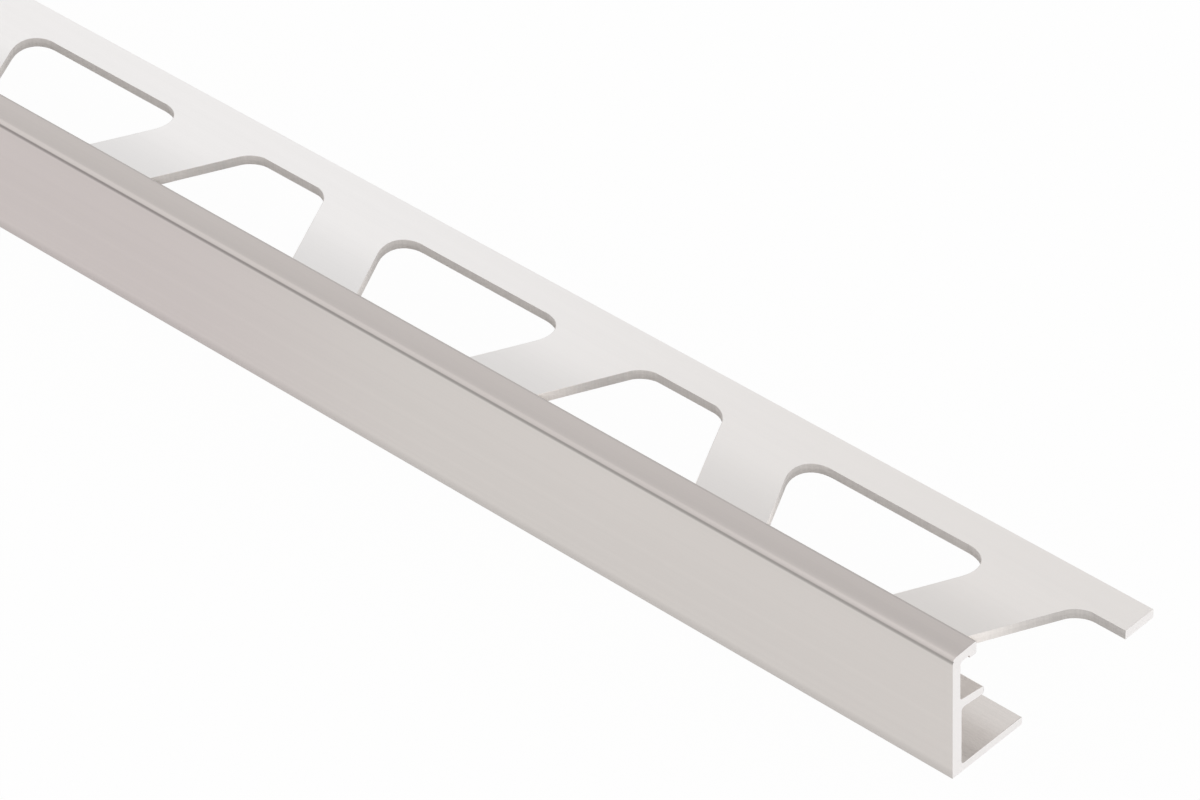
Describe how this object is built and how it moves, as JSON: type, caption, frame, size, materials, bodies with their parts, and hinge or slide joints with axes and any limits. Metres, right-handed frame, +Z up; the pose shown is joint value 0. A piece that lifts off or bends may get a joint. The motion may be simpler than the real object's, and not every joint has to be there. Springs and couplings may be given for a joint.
{
  "type": "tile edge trim",
  "caption": "Square-edge tile trim in satin aluminium: L-shaped extrusion with a trapezoid-perforated anchoring leg, inner rib and short flange.",
  "frame": {"origin": "middle of the bounding box in plan, at the underside of the flange", "axes": "+X along the bar towards the end with the head cut back, +Y from the front face to the back edge of the leg, +Z up from the flange to the leg"},
  "size_m": [2.5, 0.016, 0.0136],
  "materials": {
    "satin_anodised": "satin anodised, warm grey, with fine die lines along the bar"
  },
  "bodies": {
    "root": {"edge_trim": "satin_anodised"}
  },
  "joints": []
}
